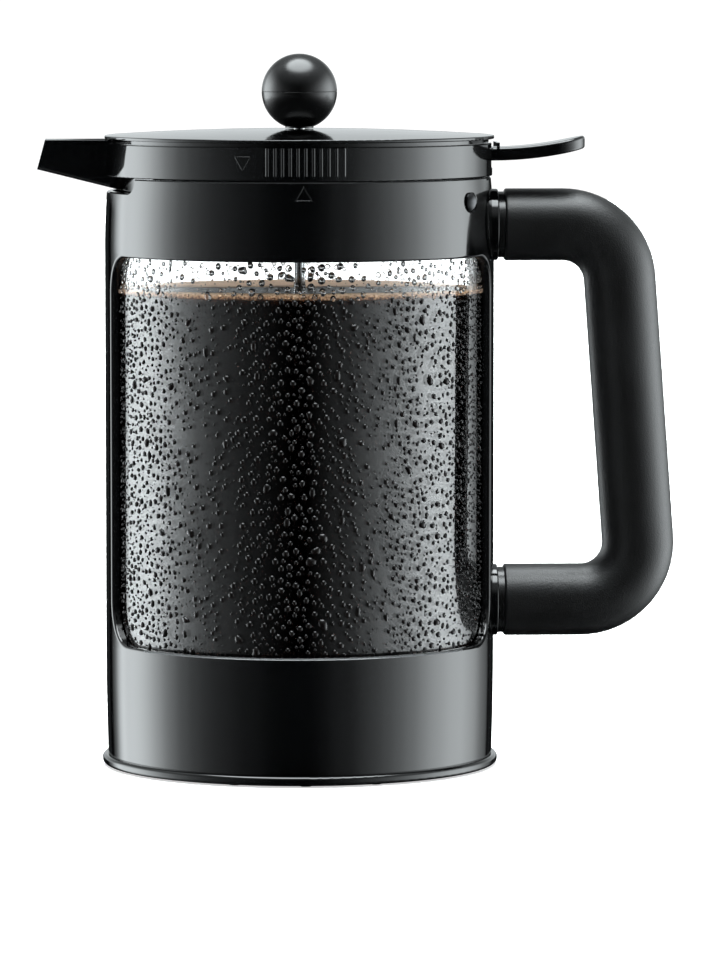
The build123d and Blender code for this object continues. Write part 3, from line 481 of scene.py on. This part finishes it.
def coffee_surface():
    """Dark in front, with a film of froth that grows towards the back, and a painted glow that
    grows with it.
    """
    g = Material("coffee_surface")
    g.set(IOR=1.008, Emission_Color=FROTH_GLOW)
    far = g.range(g.xyz(g.place)["Y"], 8 * MM, 34 * MM)
    film = g.math("ADD", far, g.range(g.noise(140.0, 4.0), 0.3, 0.7, -0.25, 0.25))
    colour = g.colours(
        film,
        (0.0, (0.012, 0.005, 0.003)), (0.35, (0.04, 0.016, 0.008)),
        (0.6, (0.4, 0.24, 0.13)), (0.9, (0.6, 0.42, 0.28)),
    )
    g.to(colour, "Base Color")
    g.to(g.range(film, 0.2, 0.7, 0.08, 0.5), "Roughness")
    # Painted glow: emission stands in for the light wall behind shining through the froth
    g.to(g.range(film, 0.35, 0.9, 0.0, 0.42), "Emission Strength")
    g.to(g.bump(g.noise(45.0, 2.0), 6e-5), "Normal")
    return g.mat


def coffee_foam():
    """Fine bubbles, darker towards their foot in the coffee, with a painted glow that grows
    towards the back.
    """
    g = Material("coffee_foam")
    g.set(IOR=1.34, Emission_Color=FROTH_GLOW)
    place = g.xyz(g.place)
    # Painted glow, stronger towards the back
    g.to(g.range(place["Y"], -50 * MM, 30 * MM, 0.03, 0.55), "Emission Strength")
    bubbles = g.cells(1400.0)
    mottled = g.math("ADD", bubbles, g.math("MULTIPLY", g.noise(160.0, 4.0), 0.6))
    rise = g.range(place["Z"], COFFEE_TOP, COFFEE_TOP + 1.5 * MM, -0.6, 0.12)
    colour = g.colours(
        g.math("ADD", mottled, rise),
        (0.0, (0.035, 0.011, 0.005)), (0.3, (0.2, 0.085, 0.035)),
        (0.55, (0.48, 0.27, 0.14)), (0.95, (0.72, 0.5, 0.33)),
    )
    g.to(colour, "Base Color")
    g.to(g.range(bubbles, 0.0, 0.6, 0.2, 0.55), "Roughness")
    g.to(g.bump(bubbles, 1.5e-4), "Normal")
    return g.mat


def coffee_grounds():
    """Wet brown crumbs."""
    g = Material("coffee_grounds")
    g.set(IOR=1.45)
    colour = g.colours(
        g.noise(700.0, 5.0, 0.7),
        (0.3, (0.006, 0.002, 0.001)), (0.6, (0.035, 0.013, 0.007)), (0.85, (0.12, 0.05, 0.03)),
    )
    g.to(colour, "Base Color")
    g.to(g.range(g.noise(1100.0), 0.3, 0.7, 0.25, 0.6), "Roughness")
    g.to(g.bump(g.noise(2600.0, 4.0), 8e-5), "Normal")
    return g.mat


# ---------------------------------------------------------------- coffee, foam and grounds
def coffee_profile():
    """The coffee's outline from its bottom's middle, out, up the wall and in over its surface."""
    # It reaches a little into the wall, so that no air gap shows between the two
    into_wall = 0.2 * MM
    r, low = BORE + into_wall, INSIDE - into_wall
    bend = INSIDE_ROUND + into_wall
    bend_steps, meniscus_steps, meniscus_step, meniscus_fall = 8, 6, 0.7 * MM, 0.9
    points = [(0.0, low)]
    for k in range(bend_steps + 1):
        a = math.radians(90.0 * k / bend_steps)
        points.append((r - bend + bend * math.sin(a), low + bend - bend * math.cos(a)))
    # Rows close to both ends keep the wall between them flat in its shading
    points += [(r, low + bend + 0.3 * MM), (r, COFFEE_TOP * 0.5), (r, COFFEE_TOP - 0.6 * MM)]
    points.append((r, COFFEE_TOP + MENISCUS))
    for k in range(1, meniscus_steps + 1):
        height = MENISCUS * math.exp(-k * meniscus_fall)
        points.append((r - k * meniscus_step, COFFEE_TOP + height))
    points += [(r - 7 * MM, COFFEE_TOP), (0.0, COFFEE_TOP)]
    return points


coffee_piece = lathe("coffee", coffee_profile(), "jug", coffee_against_wall())
coffee_piece.data.materials.append(coffee_surface())
for polygon in coffee_piece.data.polygons:
    if polygon.center.z > COFFEE_TOP - HAIR and polygon.normal.z > 0.2:
        polygon.material_index = 1


def foam_ring():
    """An uneven ring of foam that clings to the wall at the coffee's surface."""
    rng = random.Random(11)
    waves = [(rng.randint(2, 40), rng.uniform(0, 6.28), rng.uniform(0.3, 1.0)) for _ in range(14)]
    around, section = 720, 8
    outside, foot = BORE + 0.3 * MM, COFFEE_TOP - 0.2 * MM
    verts, faces = [], []
    for k in range(around):
        angle = 360.0 * k / around
        a = math.radians(angle)
        swell = sum(share * math.sin(n * a + phase) for n, phase, share in waves) / 5.0
        width = (2.3 + 0.7 * swell) * MM
        height = (1.25 + 0.2 * swell - 0.9 * math.sin(a)) * MM
        for j in range(section):
            t = math.pi * j / (section - 1)
            inward = width * (1 - math.cos(t)) / 2
            up = height * math.sin(t) ** 0.7 if 0 < j < section - 1 else 0.0
            verts.append(at(outside - inward, angle, foot + up))
    for k in range(around):
        n = (k + 1) % around
        for j in range(section):
            m = (j + 1) % section
            faces.append((k * section + j, n * section + j, n * section + m, k * section + m))
    return add_mesh("coffee_foam", verts, faces, "jug", coffee_foam())


foam_piece = foam_ring()

CRUMB_CORNERS = ((1, 0, 0), (-1, 0, 0), (0, 1, 0), (0, -1, 0), (0, 0, 1), (0, 0, -1))
CRUMB_FACES = (
    (0, 2, 4), (2, 1, 4), (1, 3, 4), (3, 0, 4), (2, 0, 5), (1, 2, 5), (3, 1, 5), (0, 3, 5)
)


def crumb(verts, faces, centre, size, rng):
    """One irregular crumb: an octahedron with moved corners."""
    base = len(verts)
    for corner in CRUMB_CORNERS:
        reach = size * rng.uniform(0.55, 1.2)
        shift = Vector([rng.uniform(-0.3, 0.3) * size for _ in range(3)])
        verts.append(centre + Vector(corner) * reach + shift)
    faces += [tuple(base + k for k in face) for face in CRUMB_FACES]


CRUMBS = 5200
CRUMB_SIZES = (0.22 * MM, 0.5 * MM)
BED_LOW = 39.9 * MM
BED_TOP = 42.9 * MM
# The bed's uneven upper edge: each wave's height, its number round the beaker and its shift
BED_WAVES = ((1.1 * MM, 2, 40), (0.7 * MM, 7, 0))


def grounds_bed():
    """Crumbs of ground coffee against the wall under and beside the filter."""
    rng = random.Random(5)
    verts, faces = [], []
    for _ in range(CRUMBS):
        angle = rng.uniform(0, 360)
        crest = BED_TOP + sum(
            height * math.sin(math.radians(angle * count + shift))
            for height, count, shift in BED_WAVES
        )
        z = BED_LOW + (crest - BED_LOW) * rng.random() ** 0.8
        size = rng.uniform(*CRUMB_SIZES)
        # Near the floor the crumbs follow the inner corner's round
        below = INSIDE_ROUND - min(INSIDE_ROUND, max(0.0, z - INSIDE))
        inset = INSIDE_ROUND - math.sqrt(max(0.0, INSIDE_ROUND**2 - below**2))
        radius = BORE + 0.1 * MM - inset - rng.uniform(0.0, 0.3 * MM)
        crumb(verts, faces, at(radius, angle, z), size, rng)
    return add_mesh("coffee_grounds", verts, faces, "jug", coffee_grounds(), smooth=False)


grounds_piece = grounds_bed()


# ---------------------------------------------------------------- drops of condensation
def water_drop():
    """Clear water, over the clear part of the wall."""
    g = Material("water_drops")
    g.set(Transmission_Weight=1.0, IOR=1.4, Roughness=0.0)
    low, high = (0.97, 0.975, 0.98), (0.99, 0.992, 0.995)
    g.to(g.colours(g.noise(400.0), (0.2, low), (0.8, high)), "Base Color")
    g.to(g.bump(g.noise(900.0, 2.0), 4e-6), "Normal")
    return g.mat


def dark_drop():
    """Water over coffee, which shows the coffee's black through it."""
    g = Material("drops_over_coffee")
    g.set(IOR=1.4)
    low, high = (0.0008, 0.0006, 0.0006), (0.003, 0.002, 0.0018)
    g.to(g.colours(g.noise(300.0), (0.3, low), (0.8, high)), "Base Color")
    g.to(g.range(g.noise(500.0), 0.3, 0.8, 0.0, 0.04), "Roughness")
    g.to(g.bump(g.noise(900.0, 2.0), 4e-6), "Normal")
    return g.mat


# A drop's base lies this far inside the wall
SUNK = 0.12 * MM

# Rings and points round a drop's mesh, by its radius
DROP_DETAIL = ((0.3 * MM, 1, 6), (0.62 * MM, 2, 8), (math.inf, 4, 14))


def drop(verts, faces, angle, z, r, sag, tall, uneven, rng):
    """One drop on the beaker's wall: a low cap that leans downwards."""
    rings, around = next((n, m) for limit, n, m in DROP_DETAIL if r < limit)
    contact = math.radians(rng.uniform(56, 70))
    phase = [rng.uniform(0, 6.28) for _ in range(2)]
    out, side, up = outward(angle), sideways(angle), Vector((0, 0, 1))
    foot = out * (BEAKER_R - SUNK) + up * z
    base = len(verts)
    for k in range(rings + 1):
        theta = contact * (1 - k / (rings + 0.5))
        spread = r * math.sin(theta) / math.sin(contact)
        height = r * (math.cos(theta) - math.cos(contact)) / math.sin(contact) + SUNK
        if k == 0:
            height = 0.0
        for j in range(around):
            p = 2 * math.pi * j / around
            wobble = 1 + uneven * (math.sin(2 * p + phase[0]) + 0.6 * math.sin(3 * p + phase[1]))
            across = spread * wobble * math.cos(p)
            along = spread * wobble * math.sin(p) * tall - sag * height
            verts.append(foot + side * across + up * along + out * height)
    faces.append(tuple(base + around - 1 - j for j in range(around)))
    for j in range(around):
        n = (j + 1) % around
        for k in range(rings):
            lower, upper = base + k * around, base + (k + 1) * around
            faces.append((lower + j, lower + n, upper + n, upper + j))
    top = base + rings * around
    faces.append(tuple(top + j for j in range(around)))


# No drop's centre comes closer to the window's edge
EDGE_ROOM = 0.7 * MM


def inside_window(across, z):
    """True where a drop's centre stays clear of the window's edge and its rounded corners."""
    edge = math.radians(WINDOW_HALF - abs(across)) * BEAKER_R
    for rounding, rise in ((SILL_ROUND, z - SILL), (WINDOW_TOP_ROUND, WINDOW_TOP - z)):
        if rise < EDGE_ROOM or edge < EDGE_ROOM:
            return False
        if edge < rounding and rise < rounding:
            if math.hypot(rounding - edge, rounding - rise) > rounding - EDGE_ROOM:
                return False
    return True


# By angle from the window's middle: share of places kept, smallest and largest radius in mm
ZONES = (
    (-76, 1.0, 0.25, 0.6), (-68, 1.0, 0.3, 0.8), (-60, 0.95, 0.4, 1.0), (-46, 0.9, 0.4, 1.0),
    (-41, 0.4, 0.3, 1.0), (-22, 0.3, 0.3, 1.15), (-17, 0.9, 0.55, 1.2), (11, 0.95, 0.6, 1.2),
    (16, 0.5, 0.35, 1.1), (24, 0.4, 0.3, 0.9), (29, 0.85, 0.4, 1.0), (38, 0.8, 0.4, 1.0),
    (44, 0.55, 0.4, 1.1), (52, 0.85, 0.4, 0.9), (66, 1.0, 0.3, 0.7), (76, 1.0, 0.25, 0.6),
)

# Each pass: range of size within the zone (below 0 for the finest), tries, room kept round a drop
PASSES = (
    (0.7, 1.0, 2200, 1.2), (0.35, 0.7, 3600, 1.16), (0.02, 0.35, 6500, 1.2),
    (-0.1, -0.02, 3500, 1.3), (-0.17, -0.1, 4500, 1.3),
)
FINEST = 0.3
ABOVE_COFFEE = 0.8

# From this size up, some drops are merged ones: larger and less even
MERGED_FROM, MERGED_CHANCE, MERGED_SIZE = 0.7, 0.09, 1.4
MERGED_UNEVEN, PLAIN_UNEVEN = (0.12, 0.2), (0.02, 0.09)

# Most drops are nearly as tall as wide, and a few have run
PLAIN_TALL, RUN_TALL, RUN_CHANCE = (1.0, 1.16), (1.3, 1.9), 0.04
FULL_SAG = 0.28

# Drops are looked up by cells of this size, up to three cells away
CELL = 1.4 * MM
CELLS_NEAR = range(-3, 4)


def zone(across):
    """The zone's three values at an angle, read between the table's rows."""
    for low, high in zip(ZONES, ZONES[1:]):
        if across <= high[0]:
            t = (across - low[0]) / (high[0] - low[0])
            return [a + (b - a) * t for a, b in zip(low[1:], high[1:])]
    return ZONES[-1][1:]


def drops(name, facing, passes, seed):
    """Drops all over the beaker's wall in one window, large first, none touching another."""
    rng = random.Random(seed)
    verts, faces, over_coffee = [], [], []
    taken = {}
    for low_share, high_share, tries, room in passes:
        for _ in range(tries):
            across = rng.uniform(-WINDOW_HALF, WINDOW_HALF)
            z = rng.uniform(SILL, WINDOW_TOP)
            keep, small, large = zone(across)
            wave = math.sin(across * 0.21 + seed) * math.sin(z * 110 + seed * 2)
            keep *= 1.0 if z < COFFEE_TOP else ABOVE_COFFEE
            if rng.random() > keep + 0.2 * wave or not inside_window(across, z):
                continue
            share = low_share + (high_share - low_share) * rng.random() ** 1.5
            r = (small + (large - small) * share if share > 0 else FINEST + share) * MM
            merged = share > MERGED_FROM and rng.random() < MERGED_CHANCE
            r *= MERGED_SIZE if merged else 1.0
            s = math.radians(across) * BEAKER_R
            i, j = int(s // CELL), int(z // CELL)
            near = [
                other for di in CELLS_NEAR for dj in CELLS_NEAR
                for other in taken.get((i + di, j + dj), ())
            ]
            if any(math.hypot(s - os, z - oz) < (r + orad) * room for os, oz, orad in near):
                continue
            taken.setdefault((i, j), []).append((s, z, r))
            tall = rng.uniform(*(PLAIN_TALL if rng.random() > RUN_CHANCE else RUN_TALL))
            sag = FULL_SAG * min(1.0, r / MM)
            uneven = rng.uniform(*(MERGED_UNEVEN if merged else PLAIN_UNEVEN))
            drop(verts, faces, facing + across, z, r, sag, tall, uneven, rng)
            over_coffee += [int(z < COFFEE_TOP)] * (len(faces) - len(over_coffee))
    piece = add_mesh(name, verts, faces, "jug", water)
    piece.data.materials.append(dark_water)
    piece.data.polygons.foreach_set("material_index", over_coffee)
    return piece


water, dark_water = water_drop(), dark_drop()
passes = PASSES
for name, facing, seed in (("drops_front", FRONT, 3), ("drops_back", BACK, 8)):
    piece = drops(name, facing, passes, seed)

# ---------------------------------------------------------------- alignment marks
MARK_RIDGE = 0.2 * MM
MARK_FLATNESS = 0.75
MARK_HALF = 2.55 * MM


def band_radius(z):
    """The band's outer radius at a height: a flat arc that leans in towards the band's top."""
    height = BAND_TOP - BAND_START
    curve = (height**2 + BAND_LEAN**2) / (2 * BAND_LEAN)
    return BODY_R - curve + math.sqrt(curve**2 - max(0.0, z - BAND_START) ** 2)


def mark(name, radius, facing, corners, body):
    """A triangle drawn on a wall of this radius as one low round ridge."""
    steps, around = 10, 8
    path = []
    for k, (x0, z0) in enumerate(corners):
        x1, z1 = corners[(k + 1) % len(corners)]
        path += [(x0 + (x1 - x0) * s / steps, z0 + (z1 - z0) * s / steps) for s in range(steps)]
    count = len(path)
    verts, faces = [], []
    for k, (x, z) in enumerate(path):
        before, after = path[k - 1], path[(k + 1) % count]
        along = Vector((after[0] - before[0], after[1] - before[1])).normalized()
        angle = facing + math.degrees(x / radius(z))
        out = outward(angle)
        side = sideways(angle) * -along.y + Vector((0, 0, 1)) * along.x
        foot = at(radius(z), angle, z)
        for j in range(around):
            p = 2 * math.pi * j / around
            ridge = side * math.cos(p) + out * MARK_FLATNESS * math.sin(p)
            verts.append(foot + ridge * MARK_RIDGE)
    for k in range(count):
        n = (k + 1) % count
        for j in range(around):
            m = (j + 1) % around
            faces.append((k * around + m, n * around + m, n * around + j, k * around + j))
    piece = add_mesh(name, verts, faces, body, mats["black_gloss"])


mark(
    "band_mark", band_radius, FRONT - 0.6,
    [(-MARK_HALF, 185.3 * MM), (MARK_HALF, 185.3 * MM), (0.0, 189.7 * MM)], "jug",
)
mark(
    "lid_mark", lambda z: RING_R, FRONT - 18.35,
    [(-MARK_HALF, 199.0 * MM), (0.0, 194.7 * MM), (MARK_HALF, 199.0 * MM)], "lid",
)

# ---------------------------------------------------------------- the lever's spring
SPRING_WIRE = 0.35 * MM
SPRING_PITCH = 1.45 * MM


def spring_coil():
    """The lever's spring, turn for turn as the solid, as a piece with a mesh of its own."""
    low, high = (Vector(corner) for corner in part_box("lever_spring"))
    middle = (low + high) / 2
    radius = (high.y - low.y) / 2 - SPRING_WIRE
    bottom, top = low.z + SPRING_WIRE, high.z - SPRING_WIRE
    steps, around = 120, 10
    verts, faces = [], []
    for k in range(steps + 1):
        height = (top - bottom) * k / steps
        out = outward(360.0 * height / SPRING_PITCH)
        on_line = Vector((middle.x, middle.y, bottom + height)) + out * radius
        for j in range(around):
            b = 2 * math.pi * j / around
            up = Vector((0, 0, math.sin(b)))
            verts.append(on_line + (out * math.cos(b) + up) * SPRING_WIRE)
    for k in range(steps):
        for j in range(around):
            n = (j + 1) % around
            a, b = k * around, (k + 1) * around
            faces.append((a + j, b + j, b + n, a + n))
    faces.append(tuple(range(around)))
    faces.append(tuple(steps * around + around - 1 - j for j in range(around)))
    piece = add_mesh("lever_spring_coil", verts, faces, "lid", mats["plated_steel"])
    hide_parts("lever_spring")
    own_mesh(piece)


spring_coil()

# ---------------------------------------------------------------- studio
FLOOR_R = 5.0
FLOOR_SIDES = 128
# The pot is turned by this angle to the camera, and the lights with it
SHOT_TURN = math.radians(2.4)


def studio_floor():
    """A white table. Reflections look through it, at the world below the horizon."""
    g = Material("studio_floor")
    g.set(Roughness=0.9, Specular_IOR_Level=0.0)
    g.set(Emission_Color=(1.0, 1.0, 1.0, 1.0), Emission_Strength=0.55)
    low, high = (0.8, 0.8, 0.8), (0.84, 0.84, 0.84)
    g.to(g.colours(g.noise(1.5), (0.3, low), (0.7, high)), "Base Color")
    depth = g.new("ShaderNodeLightPath").outputs["Glossy Depth"]
    mirrored = g.math("GREATER_THAN", depth, 0.5)
    see_through = g.new("ShaderNodeBsdfTransparent").outputs[0]
    either = g.choose(mirrored, g.bsdf.outputs[0], see_through)
    g.feed(either, g.out.inputs["Surface"])
    return g.mat


rim = [at(FLOOR_R, 360 * k / FLOOR_SIDES, 0) for k in range(FLOOR_SIDES)]
floor = add_mesh(
    "studio_floor", [Vector((0, 0, 0))] + rim,
    [(0, 1 + k, 1 + (k + 1) % FLOOR_SIDES) for k in range(FLOOR_SIDES)], None, studio_floor(),
)

# Radiance round the horizon by direction, just below and just above it: two large soft boxes
# beside the pot, a dark side in front, and behind it a pale wall that ends at table height
AROUND = (
    (-180, 0.02, 0.8), (-168, 0.02, 0.8), (-158, 0.03, 0.8), (-149, 0.06, 0.9), (-140, 1.2, 1.6),
    (-132, 4.2, 4.2), (-123, 5.4, 5.4), (-110, 6.9, 6.9), (-98, 6.0, 6.0), (-88, 3.9, 3.9),
    (-78, 2.1, 2.1), (-69, 1.2, 1.2), (-61, 0.75, 0.75), (-53, 0.45, 0.45), (-38, 0.2, 0.2),
    (-23, 0.08, 0.08), (-10, 0.01, 0.01), (8, 0.01, 0.01), (20, 0.14, 0.14), (35, 0.4, 0.4),
    (50, 1.1, 1.1), (58, 1.7, 1.7), (66, 2.5, 2.5), (75, 3.6, 3.6), (84, 5.0, 5.0),
    (94, 5.7, 5.7), (105, 5.7, 5.7), (117, 4.2, 4.2), (133, 1.5, 1.5), (150, 0.2, 0.8),
    (158, 0.03, 0.8), (180, 0.02, 0.8),
)
AROUND_PEAK = 8.0
TOP_LIGHT = 11.0
UPPER_GLOW = 0.6
SKY_TINT = (0.94, 1.0, 1.02, 1.0)
BACKDROP = 1.1

world = bpy.data.worlds.new("studio")
scene.world = world
world.use_nodes = True
sky = Tree(world.node_tree)
x, y, z = sky.xyz(sky.new("ShaderNodeTexCoord").outputs["Generated"])


def step(low, high, at_low, at_high):
    """A smooth step in the direction's height, from the nadir at -1 to the zenith at 1."""
    return sky.range(z, low, high, at_low, at_high, kind="SMOOTHSTEP")


turn = sky.math("ADD", sky.math("ARCTAN2", x, sky.math("MULTIPLY", y, -1.0)), SHOT_TURN)
around = sky.math("ADD", sky.math("DIVIDE", turn, 2 * math.pi), 0.5)
stops = [
    (degrees / 360.0 + 0.5, (below / AROUND_PEAK, above / AROUND_PEAK, 0.0))
    for degrees, below, above in AROUND
]
levels = sky.new("ShaderNodeSeparateColor")
sky.feed(sky.colours(around, *stops, kind="CARDINAL"), levels.inputs[0])
below, above = levels.outputs["Red"], levels.outputs["Green"]
difference = sky.math("SUBTRACT", above, below)
level = sky.math("ADD", below, sky.math("MULTIPLY", difference, step(-0.012, 0.008, 0.0, 1.0)))
reach = sky.math("MULTIPLY", step(0.1, 0.62, 1.0, 0.06), step(-0.8, -0.25, 0.05, 1.0))
boxes = sky.math("MULTIPLY", sky.math("MULTIPLY", level, AROUND_PEAK), reach)
overhead = sky.math("ADD", step(0.85, 0.93, 0.0, TOP_LIGHT), step(0.3, 0.8, 0.0, UPPER_GLOW))
light = sky.new("ShaderNodeBackground")
light.inputs["Color"].default_value = SKY_TINT
sky.feed(sky.math("ADD", boxes, overhead), light.inputs["Strength"])

# The camera, and whatever it sees through the beaker, has a plain white backdrop
backdrop = sky.new("ShaderNodeBackground")
backdrop.inputs["Color"].default_value = (1.0, 1.0, 1.0, 1.0)
backdrop.inputs["Strength"].default_value = BACKDROP
ray = sky.new("ShaderNodeLightPath").outputs
lit = sky.math("GREATER_THAN", sky.math("ADD", ray["Glossy Depth"], ray["Diffuse Depth"]), 0.5)
world_out = sky.new("ShaderNodeOutputWorld")
sky.feed(sky.choose(lit, backdrop.outputs[0], light.outputs[0]), world_out.inputs["Surface"])

# ---------------------------------------------------------------- camera
# Where the camera stands and what it aims at; the picture is VIEW_HEIGHT high at the aim
SHOT_DISTANCE = 1.95
SHOT_HEIGHT = 0.25523
AIM_HEIGHT = 0.09243
AIM_SIDE = 0.0196
VIEW_HEIGHT = 0.312
SENSOR = 36.0

towards = Vector((-math.sin(SHOT_TURN), -math.cos(SHOT_TURN), 0))
right = Vector((math.cos(SHOT_TURN), -math.sin(SHOT_TURN), 0))
aim = right * AIM_SIDE + Vector((0, 0, AIM_HEIGHT))
place = towards * SHOT_DISTANCE + right * AIM_SIDE + Vector((0, 0, SHOT_HEIGHT))
camera_data = bpy.data.cameras.new("camera")
camera_data.sensor_width = SENSOR
camera_data.lens = SENSOR * (aim - place).length / VIEW_HEIGHT
camera = bpy.data.objects.new("camera", camera_data)
scene.collection.objects.link(camera)
camera.location = place
camera.rotation_mode = "QUATERNION"
camera.rotation_quaternion = (aim - place).to_track_quat("-Z", "Y")
scene.camera = camera

scene.view_settings.view_transform = "Standard"
scene.view_settings.look = "None"
